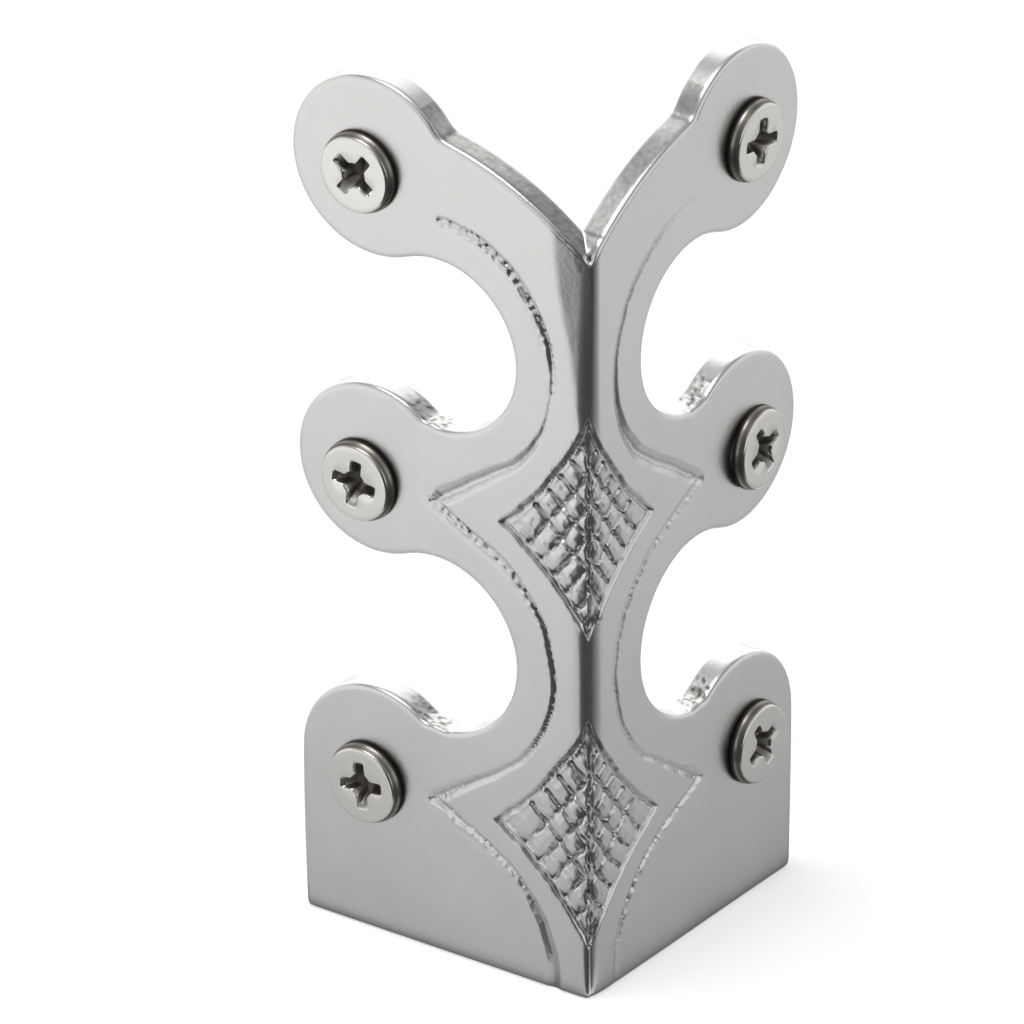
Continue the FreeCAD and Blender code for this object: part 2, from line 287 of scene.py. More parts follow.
def diamond_field(u, z, diamond):
    """Inset from a diamond's border, its two slanting coordinates and their lengths in millimetres."""
    level, reach, rise, fall = diamond
    height = rise + fall
    a = np.abs(u) / reach
    down = (level + rise - z - rise * a) / height
    across = a + down
    upper = math.hypot(reach, rise)
    lower = math.hypot(reach, fall)
    hollow = diamond_hollow * 4 * np.clip(a * (1 - a), 0, 1)
    inset = np.minimum(down * height * reach / upper, (1 - across) * height * reach / lower)
    return inset - hollow, down, across, height * reach / upper, height * reach / lower


def diamond_depth(u, z, diamond, seed):
    """Depth of a diamond's border line, its pillowed studs and the grooves between them."""
    inset, down, across, per_down, per_across = diamond_field(u, z, diamond)
    depth = np.zeros(len(u))
    near = (inset > -1.0) & (np.abs(u) < diamond[1] + 1.0)
    inset, down, across, u, z = inset[near], down[near], across[near], u[near], z[near]
    wander = 0.12 * rough(u, z, 2.2, seed) + 0.06 * rough(u, z, 0.7, seed + 2)
    border = border_depth * np.clip(1.15 - np.abs(inset + wander) / border_width, 0, 1)
    sunk = stud_sunk * np.clip(inset / 0.5, 0, 1)
    cut, pillow = np.zeros((2, len(inset)))
    for rows, place, scale, slip, falls in ((rows_down, down, per_down, slip_down, True),
                                            (rows_up, across, per_across, slip_up, False)):
        place = place + np.where(u > 0, slip, -slip)
        marks = np.array((0.0,) + rows + (1.0,))
        stud = np.clip(np.searchsorted(marks, place) - 1, 0, len(marks) - 2)
        share = np.clip((place - marks[stud]) / (marks[stud + 1] - marks[stud]), 0, 1)
        pillow += stud_crown * np.abs(2 * share - 1) + stud_slope * share
        strokes = np.where((u > 0) == falls, 1.0, weak_stroke)
        for k, mark in enumerate(rows):
            away = (place - mark) * scale + groove_wander * rough(u, z, 1.5, seed + k)
            strength = strokes * np.clip(0.85 + 1.1 * rough(u, z, 0.9, seed + 10 + k), 0.1, 1.3)
            groove = np.clip(1.15 - np.abs(away) / np.where(away > 0, *groove_widths), 0, 1)
            cut = np.maximum(cut, groove_depth * strength * groove)
    inner = np.clip((inset - 0.15) / 0.3, 0, 1)
    dint = dint_depth * np.clip(rough(u, z, dint_size, seed + 5), 0, 1)
    dint += (arris_dint_depth * np.exp(-(u / arris_dint_reach) ** 2)
             * (rough(u, z, arris_dint_size, seed + 6) + 0.4))
    depth[near] = np.maximum(border, cut * inner) + sunk + (pillow + dint) * inner
    return depth


def engraved(u, z):
    """Depth of all that is cut into the front face at each point."""
    depth = leaf_depth(u, z)
    for seed, diamond in enumerate(diamonds):
        depth += diamond_depth(u, z, diamond, 20.0 + 30 * seed)
    return depth


# Waves and ripples that buffing left: height and length
wave_height, wave_length = 0.035, 7.0
ripple_height, ripple_length = 0.006, 1.3


def surface_depth(u, z):
    """How deep the finished front face lies below the flat one: the cuts and the buffed waves."""
    return (engraved(u, z) + wave_height * rough(u, z, wave_length, 1.0)
            + ripple_height * rough(u, z, ripple_length, 4.0) + wave_height)


# The arris is filed to a narrow flat, further into the left leg: (height, left, right)
arris_flat = ((0.0, 0.35, 1.6), (5.0, 0.4, 1.5), (7.0, 0.3, 1.4), (21.0, 0.3, 1.3),
              (24.5, 0.75, 1.15), (32.5, 0.8, 1.1), (35.0, 0.35, 1.3), (48.0, 0.4, 1.0),
              (52.5, 0.92, 0.8), (66.0, 0.92, 0.75))
# Beside it the left leg is dressed to a faint facet: (height, reach) and (height, slope)
dressed_width = ((0.0, 1.3), (27.0, 1.8), (40.0, 1.6), (50.0, 1.3), (54.4, 1.6), (57.4, 2.0),
                 (60.5, 2.7), (63.0, 3.2), (66.0, 3.5))
dressed_slope = ((0.0, 0.08), (50.0, 0.12), (55.0, 0.17), (66.0, 0.17))
# How far the buffing wheel softened the flat's two edges
arris_soft_left = 0.36
arris_soft_right = 0.85


def arris_section(u, z):
    """Front face's x and y before its corners are softened."""
    heights, lefts, rights = zip(*arris_flat)
    left, right = np.interp(z, heights, lefts), np.interp(z, heights, rights)
    wide = np.interp(z, *zip(*dressed_width))
    slope = np.interp(z, *zip(*dressed_slope))
    dressed = np.clip(wide + u, 0, wide - left) * slope
    share = np.clip((u + left) / (left + right), 0, 1)
    x = np.where(u > right, u, share * right + (1 - share) * dressed)
    y = np.where(u < -left, -u, (1 - share) * left)
    x = np.where(u < -left, dressed, x)
    return x - thickness, y - thickness


def front_point(u, z):
    """Front face's x and y with softened corners, and its outward normal there."""
    soft = np.where(u > 0, arris_soft_right, arris_soft_left)
    parts = np.linspace(-1, 1, 9)
    beside = 0.03
    sums = [np.zeros(len(u)) for _ in range(4)]
    for part in parts:
        for k, reach in ((0, 0.0), (2, beside)):
            x, y = arris_section(u + part * soft + reach, z)
            sums[k] += x / len(parts)
            sums[k + 1] += y / len(parts)
    run = np.stack((sums[2] - sums[0], sums[3] - sums[1]), 1)
    run /= np.linalg.norm(run, axis=1)[:, None]
    return sums[0], sums[1], run[:, 1], -run[:, 0]


def folded(u, z, depth):
    """Points of the front face, a depth below it, folded round the arris."""
    x, y, nx, ny = front_point(u, z)
    return np.stack((x - nx * depth, y - ny * depth, z), 1)


# About how far the mitre's points keep from the arris, and how close vertices are merged
arris_clear = 0.95
merge_distance = 0.002


def back_points(loop):
    """Where the outline meets the back: on the inner faces, or on the mitre near the arris."""
    u, z = loop.T
    reach = np.maximum(np.abs(u), 0.75 * arris_clear + 0.25 * np.abs(u))
    mitre = np.minimum(reach, thickness) - thickness
    right = np.stack((np.where(reach > thickness, reach - thickness, mitre), mitre, z), 1)
    left = right[:, (1, 0, 2)]
    return np.where((u >= 0)[:, None], right, left)


def in_scene(name, data):
    """A new object with some data, linked into the scene."""
    piece = bpy.data.objects.new(name, data)
    bpy.context.collection.objects.link(piece)
    return piece


class Mesh:
    """Vertices and faces of a mesh under construction, in millimetres."""

    def __init__(self):
        self.points, self.faces, self.count = [], [], 0

    def add(self, points):
        """Adds vertices and returns their numbers."""
        start = self.count
        self.points.append(np.asarray(points, float))
        self.count += len(points)
        return range(start, self.count)

    def strips(self, rings):
        """Quads between closed rings of vertices of equal length, from each ring to the next."""
        size = len(rings[0])
        for first, second in zip(rings, rings[1:]):
            for k in range(size):
                m = (k + 1) % size
                self.faces.append((first[k], first[m], second[m], second[k]))

    def fan(self, ring, middle):
        """Triangles from a closed ring of vertices to one in its middle."""
        size = len(ring)
        self.faces += [(ring[k], ring[(k + 1) % size], middle) for k in range(size)]

    def sheet(self, numbers, faces):
        """Triangles given by their places in a list of vertices."""
        self.faces += [tuple(numbers[v] for v in face) for face in faces]

    def finished(self, name):
        """The object in metres, with coincident vertices merged and its faces turned outwards."""
        data = bpy.data.meshes.new(name)
        places = np.concatenate(self.points) * 0.001
        data.from_pydata(places.tolist(), [], self.faces)
        piece = in_scene(name, data)
        work = bmesh.new()
        work.from_mesh(data)
        bmesh.ops.remove_doubles(work, verts=work.verts, dist=merge_distance * 0.001)
        bmesh.ops.dissolve_degenerate(work, edges=work.edges, dist=1e-7)
        bmesh.ops.recalc_face_normals(work, faces=work.faces)
        work.to_mesh(data)
        work.free()
        return piece


def hole_rings(legs=(-1, 1), count=40):
    """Screw holes as closed rings of (u, z)."""
    turns = [2 * math.pi * k / count for k in range(count)]
    return [np.array([(leg * (hole_reach + hole_radius * math.cos(t)), z + hole_radius * math.sin(t))
                      for t in turns]) for leg in legs for z in hole_heights]


def within(points, loop):
    """How far each point lies inside a closed loop of close points; below zero is outside."""
    tree = search_tree(loop)
    near = np.array([tree.find((a, b, 0.0))[1] for a, b in points])
    normals = inward_normals(loop)[near]
    return ((points - loop[near]) * normals).sum(1)


def triangulated(rings, loose):
    """Triangles inside the first ring and outside the others: the points used and the faces."""
    edges, start = [], 0
    for ring in rings:
        edges += [(start + k, start + (k + 1) % len(ring)) for k in range(len(ring))]
        start += len(ring)
    points = [Vector(p) for p in np.concatenate(list(rings) + [loose])]
    places, _, faces, *_ = delaunay_2d_cdt(points, edges, [], 0, 1e-7, False)
    places = np.array([tuple(p) for p in places])
    faces = np.array([tuple(face) for face in faces])
    middles = places[faces].mean(1)
    kept = within(middles, rings[0]) > 0
    for ring in rings[1:]:
        centre = ring.mean(0)
        reach = np.linalg.norm(ring - centre, axis=1).max()
        close = np.where(np.linalg.norm(middles - centre, axis=1) < reach)[0]
        kept[close] &= within(middles[close], ring) < 0
    return places, [tuple(face) for face in faces[kept]]


# Spacing of the front's points where it is engraved, and how many times that it is elsewhere; how
# far from the arris, from the leaf line and over the dressed facet it is finer; the clear strips
# along the edge and round the holes; and how far the grid of points reaches
fine_step = 0.13
coarse_steps = 3
arris_fine = 1.5
leaf_fine = 0.95
facet_fine, facet_foot = 4.2, 50
edge_inside, edge_clear = 0.07, 0.09
hole_clear = 0.12
grid_reach, grid_height = 29.0, 76.1


def hole_distance(u, z):
    """Distance of a point from the middle of the nearest hole."""
    return min(math.hypot(abs(u) - hole_reach, z - height) for height in hole_heights)


def grid_points(inner):
    """Loose points of the front face: close together where it is engraved, far apart elsewhere."""
    columns, rows = int(grid_reach / fine_step), int(grid_height / fine_step)
    i, j = (g.ravel() for g in np.meshgrid(np.arange(-columns + 1, columns), np.arange(1, rows + 1)))
    u, z = i * fine_step, j * fine_step
    near_edge = search_tree(inner)
    normals = inward_normals(inner)
    chosen = (i % coarse_steps == 0) & (j % coarse_steps == 0)
    for diamond in diamonds:
        chosen |= (diamond_field(u, z, diamond)[0] > -0.5) & (np.abs(u) < diamond[1] + 0.6)
    chosen |= (np.abs(u) < arris_fine) & (j % 2 == 0)
    chosen |= (u < 0) & (u > -facet_fine) & (z > facet_foot) & (i % 2 == 0) & (j % 2 == 0)
    kept = []
    for a, b, wanted in zip(u.tolist(), z.tolist(), chosen):
        if not wanted and leaf_tree.find((abs(a), b, 0.0))[2] >= leaf_fine:
            continue
        _, near, away = near_edge.find((a, b, 0.0))
        inside = (a - inner[near, 0]) * normals[near, 0] + (b - inner[near, 1]) * normals[near, 1]
        clear = away >= edge_clear and hole_distance(a, b) >= hole_radius + hole_clear
        if clear and inside >= edge_inside:
            kept.append((a, b))
    return np.array(kept)


def rounded_edge(mesh):
    """Rings of the front's rounded edge, from the walls to the face."""
    rings = []
    for turn in (math.radians(t) for t in (0, 22, 45, 67, 90)):
        drop = edge_radius * (1 - math.sin(turn))
        loop = outline + inward * (edge_radius * (1 - math.cos(turn)))
        depth = surface_depth(*loop.T)
        rings.append(mesh.add(folded(*loop.T, drop + depth * (1 - drop / edge_radius))))
    mesh.strips(rings)
    return rings[0]


def front_face(mesh, holes):
    """The engraved face inside the rounded edge."""
    inner = outline + inward * edge_radius
    places, faces = triangulated([inner] + holes, grid_points(inner))
    u, z = places.T
    mesh.sheet(mesh.add(folded(u, z, surface_depth(u, z))), faces)


# Pits of the cast skin on the walls: their size, how deep they are everywhere, how much deeper at the
# shoulders, and how far that reaches
pit_size = 0.55
pit_depth = 0.004
worn_pit_depth = 0.07
worn_reach = 2.2


def by_shoulders(u, z, reach, power=2):
    """How close each point is to a shoulder: 1 at its middle, falling off over a reach."""
    return sum(np.exp(-(np.hypot(np.abs(u) - su, z - sz) / reach) ** power) for su, sz in shoulders)


def outer_walls(mesh, rim):
    """Walls of the outline from the rounded edge to the back, pitted like cast skin."""
    u, z = outline.T
    edge = folded(u, z, edge_radius)
    back = back_points(outline)
    roughened = by_shoulders(u, z, worn_reach)
    away = np.clip(np.abs(u) - 1.5 * thickness, 0, 1)
    inward_x = np.where(u >= 0, inward[:, 0], 0)
    inward_y = np.where(u < 0, -inward[:, 0], 0)
    levels = [rim]
    for share in (0.14, 0.28, 0.42, 0.56, 0.70, 0.84, 1.0):
        deep = share * thickness / pit_size + 5.0
        pits = np.array([noise.noise((a / pit_size, b / pit_size, deep)) for a, b in outline]) * away
        hollow = (pit_depth + worn_pit_depth * roughened) * pits * math.sin(math.pi * share)
        hollow[z < 0.5] = 0
        wall = edge * (1 - share) + back * share
        wall += np.stack((inward_x, inward_y, inward[:, 1]), 1) * hollow[:, None]
        levels.append(mesh.add(wall))
    for pair in zip(levels[1:], levels):
        mesh.strips(pair)


# The back's points: their spacing down the inner corner line; how far a grid of 1 mm is set off from
# whole millimetres, across and up; and how far its points keep from the outline and from the holes
corner_spacing = 1.2
offset_across, offset_up = 0.3, 0.45
rim_clear, rear_hole_clear = 0.4, 0.3


def on_back(flat, side):
    """Places on the flat back of a leg, from (u, z)."""
    away, corner = np.abs(flat[:, 0]) - thickness, np.zeros(len(flat))
    return np.stack((away, corner, flat[:, 1]) if side > 0 else (corner, away, flat[:, 1]), 1)


def rear_face(mesh, side):
    """The flat back of a leg, from the inner corner line to the outline."""
    here = np.where(outline[:, 0] * side >= thickness - 1e-6)[0]
    rim = outline[here]
    gap = np.where(np.diff(here) > 1)[0]
    if len(gap):
        rim = np.roll(rim, -1 - gap[0], 0)
    corner = np.arange(0.5, arris_height - 0.3, corner_spacing)
    line = np.stack((np.full(len(corner), side * thickness), corner), 1)
    low_first = rim[0, 1] < rim[-1, 1]
    loop = np.concatenate((rim, line[::-1] if low_first else line))
    columns, rows = np.arange(3, int(grid_reach)), np.arange(int(grid_height) + 1)
    i, j = (g.ravel() for g in np.meshgrid(columns, rows))
    loose = np.stack((side * (i + offset_across), j + offset_up), 1)
    inside = within(loose, outline) > rim_clear
    clear = np.array([hole_distance(a, b) > hole_radius + rear_hole_clear for a, b in loose])
    places, faces = triangulated([loop] + hole_rings((side,)), loose[inside & clear])
    mesh.sheet(mesh.add(on_back(places, side)), faces)


def hole_wall(mesh, ring):
    """The wall of a screw hole, from the front to the back."""
    front = mesh.add(folded(*ring.T, surface_depth(*ring.T)))
    mesh.strips((front, mesh.add(on_back(ring, ring[0, 0]))))


def casting():
    """The whole casting as one closed mesh, inside the box of the solid that it stands for."""
    mesh = Mesh()
    holes = hole_rings()
    rim = rounded_edge(mesh)
    front_face(mesh, holes)
    outer_walls(mesh, rim)
    for side in (1, -1):
        rear_face(mesh, side)
    for ring in holes:
        hole_wall(mesh, ring)
    low, high = (np.array(corner) * 1000 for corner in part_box("corner_plate"))
    mesh.points = [np.clip(p, low, high) for p in mesh.points]
    return mesh.finished("corner_casting")


# How dark the walls are painted: the specks' size, how far they reach from the shoulders, and the darker
# tint on the arms' top walls, darker on the left arm. Painted shade darkens a cut from a depth, over a
# range.
speck_size = 0.36
speck_reach = 2.0
left_arm_tint, right_arm_tint, arm_tint_specks = 0.52, 0.34, 0.28
cut_shade_from, cut_shade_range = 0.20, 0.22
# Depths where the front's points end and the walls' begin; then where an arm's top wall lies: its
# reach from the arris, and how far below the arris's height it starts, there and along a slope
front_end, wall_start = 0.9, 0.35
arm_near, arm_far = 1.0, 16.5
arm_below, arm_slope, slope_below = 0.6, 0.45, 2.5


def mark_cut_shade_and_wall_tint(piece):
    """How dark each vertex is painted, 0 to 1: painted shade in the cuts, specks and a tint on the walls.
    """
    places = np.array([vertex.co for vertex in piece.data.vertices]) * 1000 + (thickness, thickness, 0)
    u = np.where(places[:, 0] > places[:, 1], places[:, 0], -places[:, 1])
    deep = places[:, :2].min(1)
    shade_and_wall_tint = np.zeros(len(u))
    front = deep < front_end
    # Painted shade in the cuts, darker the deeper they are
    shade_and_wall_tint[front] = np.clip((engraved(u[front], places[front, 2]) - cut_shade_from) / cut_shade_range, 0, 1)
    wall = (deep > wall_start) & (deep < thickness - 0.05)
    a, b = np.abs(u[wall]), places[wall, 2]
    patch = by_shoulders(a, b, speck_reach, 4)
    specks = np.array([noise.noise(tuple(c / speck_size for c in place))
                       for place in zip(u[wall], b, deep[wall])])
    arm = (b > arris_height - arm_below) & (a < arm_far) & (a > arm_near)
    arm &= b > arm_slope * a + arris_height - slope_below
    arm_tint = np.where(u[wall] < 0, left_arm_tint, right_arm_tint) + arm_tint_specks * specks
    # Dark specks near the shoulders, and a darker tint on the arms' top walls
    shade_and_wall_tint[wall] = np.clip(np.maximum(patch * (2.4 * specks + 0.10), np.where(arm, arm_tint, 0)), 0, 1)
    piece.data.attributes.new("cut", "FLOAT", "POINT").data.foreach_set("value", shade_and_wall_tint)


def linear(code):
    """Linear colour of an sRGB hex value."""
    parts = [int(code[k:k + 2], 16) / 255 for k in (1, 3, 5)]
    return [p / 12.92 if p <= 0.04045 else ((p + 0.055) / 1.055) ** 2.4 for p in parts] + [1.0]


def add_node(tree, kind, inputs=(), **settings):
    """Adds a node with its settings; an input takes a value, a socket, or a node's first output."""
    node = tree.nodes.new(kind)
    for name, value in settings.items():
        setattr(node, name, value)
    for key, value in dict(inputs).items():
        if isinstance(value, bpy.types.Node):
            value = next(socket for socket in value.outputs if socket.enabled)
        if isinstance(value, bpy.types.NodeSocket):
            tree.links.new(value, node.inputs[key])
        else:
            node.inputs[key].default_value = value
    return node


def new_material(name):
    """Empty node material and its tree."""
    material = bpy.data.materials.new(name)
    material.use_nodes = True
    material.node_tree.nodes.clear()
    return material, material.node_tree


def satin_nickel():
    """Satin nickel plate on buffed cast zinc: a pale grey, soft mirror, with painted shade in the cuts
    and dark specks and a tint on the walls.

    The mottle of the buffing is some 6 mm across and the grain of the plate 0.4 mm, as fine as shows.
    """
    material, tree = new_material("satin nickel plate on cast zinc")
    place = add_node(tree, "ShaderNodeTexCoord").outputs["Object"]
    mottle = add_node(tree, "ShaderNodeTexNoise", {"Vector": place, "Scale": 160.0, "Detail": 3.0})
    tint = add_node(tree, "ShaderNodeMix", {
        "Factor": mottle, "A": linear("#D0CFCD"), "B": linear("#DBDAD8")},
        data_type="RGBA")
    # This layer darkens the colour: painted shade in the cuts, specks and a tint on the walls
    cut = add_node(tree, "ShaderNodeAttribute", attribute_name="cut").outputs["Fac"]
    painted_shade_and_tint = add_node(tree, "ShaderNodeMix", {
        "Factor": cut, "A": tint, "B": linear("#5F5D5A")}, data_type="RGBA")
    grain = add_node(tree, "ShaderNodeTexNoise", {"Vector": place, "Scale": 2600.0, "Detail": 2.0})
    gloss = add_node(tree, "ShaderNodeMapRange", {
        "Value": mottle, "To Min": 0.24, "To Max": 0.34})
    bump = add_node(tree, "ShaderNodeBump", {
        "Strength": 0.05, "Distance": 0.0002, "Height": grain})
    metal = add_node(tree, "ShaderNodeBsdfPrincipled", {
        "Base Color": painted_shade_and_tint, "Metallic": 1.0,
        "Roughness": gloss, "Normal": bump})
    add_node(tree, "ShaderNodeOutputMaterial", {"Surface": metal})
    return material


def shade_smooth(piece, sharp_angle):
    """Smooth shading over all edges but those that turn by more than an angle."""
    piece.data.polygons.foreach_set("use_smooth", [True] * len(piece.data.polygons))
    piece.data.set_sharp_from_angle(angle=math.radians(sharp_angle))


plate = casting()
mark_cut_shade_and_wall_tint(plate)
plate.data.materials.append(satin_nickel())
shade_smooth(plate, 65)
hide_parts("corner_plate")
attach(plate, "root")


# ---- Screws ----
# Pan-head screws of nickel plated steel with a cross recess, driven through the six ears. The
# heads are cold formed with a soft rim and the threads are rolled. Each one sits a little off the
# middle of its clearance hole, with its cross turned as the screwdriver left it.

# Points round a screw
face_round = 96
# Outside of a screw from the flat of its head down to its point: (radius, height)
screw_side = (
    (3.02, 1.05), (3.12, 1.03), (3.19, 0.98), (3.24, 0.91), (3.28, 0.82), (3.35, 0.66), (3.42, 0.48),
    (3.47, 0.30), (3.48, 0.13), (3.42, 0.04), (3.34, 0.0), (1.45, 0.0), (1.32, -0.06), (1.30, -0.2),
    (1.30, -2.4), (1.22, -2.55), (1.22, -4.1), (1.22, -5.7), (0.95, -6.15), (0.45, -6.95), (0.25, -7.15),
    (0.08, -7.2),
)
head_flat, head_height = screw_side[0]
screw_tip = -7.2

# Cross recess: its depth, the length and width of its arms and the diameter of its core, each at the
# top and at that depth; how far its rim flares; how deep its middle is; then the levels of its walls,
# (depth, how far outside that size), and the rings of points on the flat around it
recess_depth = 1.35
recess_arms = (4.1, 1.9)
recess_width = (0.98, 0.64)
recess_core = (2.15, 1.1)
recess_rim = 0.07
recess_floor = 1.42
recess_walls = ((0.02, 0.03), (0.07, 0.0), (0.4, 0.0), (0.8, 0.0), (1.2, 0.0), (1.33, -0.06))
flat_rings = (2.7, 2.4, 2.25)
# Painted shadow and reflections on the side of a head by height: 0 bright, 1 black; a lighter ring, a
# painted reflection, runs half way up. Then the painted shade in the recess: its strength, and how far
# out that goes, above the head's underside and below, and down
side_shadow_and_reflection = ((0.0, 1.0), (0.3, 0.9), (0.48, 0.25), (0.66, 0.6), (0.82, 0.7), (0.91, 0.3), (0.98, 0.0))
side_inner = 3.2
recess_painted_shade = 0.48
shade_above, shade_below, shade_foot = 2.3, 1.15, -0.6
# The thread on the shank, and where it starts; then its run-out on the point
thread_core, thread_height, thread_pitch, thread_length = 1.22, 0.53, 1.4, 3.6
thread_start = -6.2
point_core, point_length, point_turns = 0.3, 1.2, 1.3
point_start = -7.0

# Each screw: leg, hole, how far it sits off the hole's middle, turn of its cross, and its lean
screw_seats = (
    ("left", 0, (-0.45, -0.4), 6.5, (0.6, -0.8)), ("left", 1, (0.05, -0.2), -7.0, (0.4, 0.5)),
    ("left", 2, (-0.1, 0.4), 54.0, (-0.5, 0.6)), ("right", 0, (0.45, 0.0), 27.0, (-0.8, 1.0)),
    ("right", 1, (0.5, -0.3), 22.0, (-2.5, 3.0)), ("right", 2, (0.0, 0.45), -7.0, (0.5, -0.6)),
)


def cross_outline(depth, outset=0.0, parts=5):
    """Outline of the cross recess at a depth: four arms that run into a round core."""
    half, side, core = ((top + (low - top) * depth / recess_depth) / 2 + outset
                        for top, low in (recess_arms, recess_width, recess_core))
    lean = math.asin(side / core)
    meet = core * math.cos(lean)
    quarter = [(half, -side + 2 * side * k / parts) for k in range(parts)]
    quarter += [(half + (meet - half) * k / parts, side) for k in range(parts)]
    turns = [lean + (math.pi / 2 - 2 * lean) * k / parts for k in range(parts)]
    quarter += [(core * math.cos(t), core * math.sin(t)) for t in turns]
    quarter += [(side, meet + (half - meet) * k / parts) for k in range(parts)]
    points = []
    for turn in ((1, 0), (0, 1), (-1, 0), (0, -1)):
        points += [(x * turn[0] - y * turn[1], x * turn[1] + y * turn[0]) for x, y in quarter]
    points = np.array(points)
    return points * 0.6 + (np.roll(points, 1, 0) + np.roll(points, -1, 0)) * 0.2


def screw_blank():
    """One screw without its thread, point down, with the underside of its head at the origin."""
    mesh = Mesh()
    turns = np.arange(face_round) * 2 * math.pi / face_round
    circle = np.stack((np.cos(turns), np.sin(turns)), 1)

    def level(points, height):
        """Adds flat points at a height."""
        return mesh.add(np.column_stack((points, np.full(len(points), height))))

    rings = [level(circle * radius, height) for radius, height in screw_side]
    mesh.strips(rings)
    mesh.fan(rings[-1], mesh.add([(0, 0, screw_tip)])[0])
    rim = cross_outline(0.0, recess_rim)
    flat = [circle * radius for radius in flat_rings]
    places, faces = triangulated([circle * head_flat, rim], np.concatenate(flat))
    mesh.sheet(level(places, head_height), faces)
    walls = [level(rim, head_height)]
    walls += [level(cross_outline(depth, outset), head_height - depth) for depth, outset in recess_walls]
    mesh.strips(walls)
    mesh.fan(walls[-1], mesh.add([(0, 0, head_height - recess_floor)])[0])
    piece = mesh.finished("screw_blank")
    # Painted shadow and reflections on the side of the head, and painted shade down in the recess
    painted_shade_and_tint = piece.data.attributes.new("painted_shade_and_tint", "FLOAT", "POINT")
    for vertex, value in zip(piece.data.vertices, painted_shade_and_tint.data):
        x, y, z = (c * 1000 for c in vertex.co)
        away = math.hypot(x, y)
        if away > side_inner:
            value.value = np.interp(z, *zip(*side_shadow_and_reflection))
        elif away < (shade_above if z > 0.005 else shade_below) and z > shade_foot:
            value.value = recess_painted_shade * min(max((head_height - 0.1 - z) / 0.5, 0), 1)
    return piece


def bright_nickel():
    """Bright nickel plate on cold formed steel: a clear mirror, with painted shade and painted
    reflections.

    The recess is darkened with painted shade, and the side of the head with painted shadow and
    reflections; there it is also rougher. The waves of the plate are 1 mm long.
    """
    material, tree = new_material("bright nickel plate on steel")
    place = add_node(tree, "ShaderNodeTexCoord").outputs["Object"]
    waves = add_node(tree, "ShaderNodeTexNoise", {"Vector": place, "Scale": 900.0, "Detail": 3.0})
    down = add_node(tree, "ShaderNodeAttribute", attribute_name="painted_shade_and_tint").outputs["Fac"]
    tint = add_node(tree, "ShaderNodeValToRGB", {"Fac": down})
    # From bright nickel to painted shade: grey-brown half way, near black at full
    marks = tint.color_ramp.elements
    marks[0].color = linear("#D6D5D2")
    marks[1].color = linear("#2B2A29")
    marks.new(0.5).color = linear("#8A857D")
    gloss = add_node(tree, "ShaderNodeMapRange", {
        "Value": waves, "To Min": 0.10, "To Max": 0.22})
    roughened = add_node(tree, "ShaderNodeMapRange", {"Value": down, "To Min": 0.0, "To Max": 0.5})
    rough_all = add_node(tree, "ShaderNodeMath", {
        0: gloss, 1: roughened}, operation="ADD")
    bump = add_node(tree, "ShaderNodeBump", {
        "Strength": 0.06, "Distance": 0.0002, "Height": waves})
    metal = add_node(tree, "ShaderNodeBsdfPrincipled", {
        "Base Color": tint, "Metallic": 1.0,
        "Roughness": rough_all, "Normal": bump})
    add_node(tree, "ShaderNodeOutputMaterial", {"Surface": metal})
    return material


def screw_set_tree(finish):
    """Geometry nodes that give each seat a screw with its thread swept round its shank."""
    tree = bpy.data.node_groups.new("screws with rolled threads", "GeometryNodeTree")
    for name, kind in (("Seats", "Geometry"), ("Blank", "Object"), ("Core Radius", "Float"),
                       ("Thread Height", "Float"), ("Pitch", "Float"), ("Length", "Float")):
        tree.interface.new_socket(name=name, in_out="INPUT", socket_type="NodeSocket" + kind)
    tree.interface.new_socket(name="Screws", in_out="OUTPUT", socket_type="NodeSocketGeometry")
    given = tree.nodes.new("NodeGroupInput").outputs
    turns = add_node(tree, "ShaderNodeMath", {
        0: given["Length"], 1: given["Pitch"]}, operation="DIVIDE")
    blank = add_node(tree, "GeometryNodeObjectInfo", {"Object": given["Blank"]})
    ridge = add_node(tree, "GeometryNodeCurvePrimitiveCircle", {
        "Resolution": 4, "Radius": given["Thread Height"]})
    joined = add_node(tree, "GeometryNodeJoinGeometry", {0: blank.outputs["Geometry"]})
    for rotations, radius, length, height in (
            (turns, given["Core Radius"], given["Length"], thread_start),
            (point_turns, point_core * 0.001, point_length * 0.001, point_start)):
        spiral = add_node(tree, "GeometryNodeCurveSpiral", {
            "Resolution": 28, "Rotations": rotations, "Start Radius": radius,
            "End Radius": given["Core Radius"], "Height": length})
        swept = add_node(tree, "GeometryNodeCurveToMesh", {
            "Curve": spiral, "Profile Curve": ridge,
            "Fill Caps": True})
        moved = add_node(tree, "GeometryNodeTransform", {
            "Geometry": swept, "Translation": (0, 0, height * 0.001)})
        tree.links.new(moved.outputs["Geometry"], joined.inputs[0])
    turn = add_node(tree, "GeometryNodeInputNamedAttribute", {"Name": "turn"},
                    data_type="FLOAT_VECTOR")
    spin = add_node(tree, "FunctionNodeEulerToRotation", {"Euler": turn})
    placed = add_node(tree, "GeometryNodeInstanceOnPoints", {
        "Points": given["Seats"], "Instance": joined,
        "Rotation": spin})
    real = add_node(tree, "GeometryNodeRealizeInstances", {"Geometry": placed})
    coated = add_node(tree, "GeometryNodeSetMaterial", {
        "Geometry": real, "Material": finish})
    add_node(tree, "NodeGroupOutput", {"Screws": coated})
    return tree


def plain_mesh(carrier, name):
    """The carrier's geometry with its nodes applied, as an object of its own."""
    evaluated = carrier.evaluated_get(bpy.context.evaluated_depsgraph_get())
    data = bpy.data.meshes.new_from_object(evaluated)
    data.name = name
    return in_scene(name, data)


